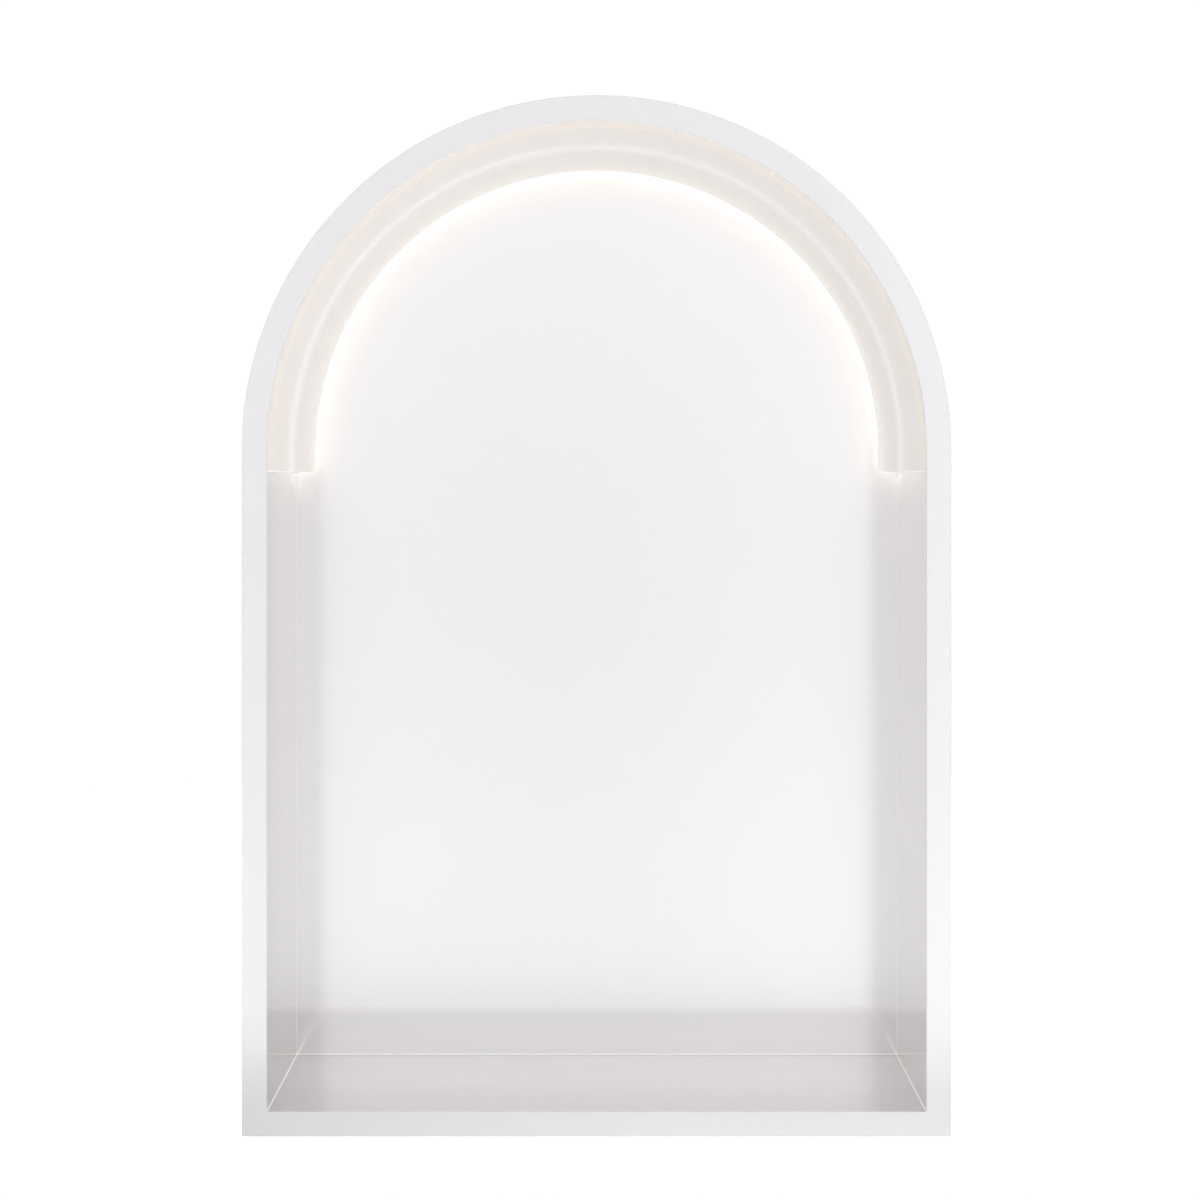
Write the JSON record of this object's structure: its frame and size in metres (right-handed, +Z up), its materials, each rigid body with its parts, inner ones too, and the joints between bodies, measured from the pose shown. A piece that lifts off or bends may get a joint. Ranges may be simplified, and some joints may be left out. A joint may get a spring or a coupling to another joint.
{
  "type": "recessed wall niche",
  "caption": "Arch-topped recessed wall niche: a flat white rim around a shallow box, with a warm light hidden behind an arch-shaped valance plate.",
  "frame": {"origin": "middle of the back face of the rim's bottom rail, on the face of the wall", "axes": "+Z up, +Y into the wall and out of the rim's back face, +X to the right as seen from the room"},
  "size_m": [0.71, 0.1758, 1.042],
  "materials": {
    "rim_coating": "satin white coating, faintly cool",
    "box_coating": "softly mirroring satin white coating",
    "lining_coating": "softly mirroring satin white coating",
    "back_coating": "softly mirroring satin white coating",
    "valance_coating": "fine-grained satin white coating",
    "opal_light": "opal sleeve, lit warm white",
    "grommet_rubber": "matte black rubber"
  },
  "bodies": {
    "root": {"front_frame": "rim_coating", "floor_panel": "box_coating", "left_side_panel": "box_coating", "right_side_panel": "box_coating", "arch_lining": "lining_coating", "back_panel": "back_coating", "light_valance": "valance_coating", "led_strip": "opal_light", "cable_grommet": "grommet_rubber"}
  },
  "joints": []
}
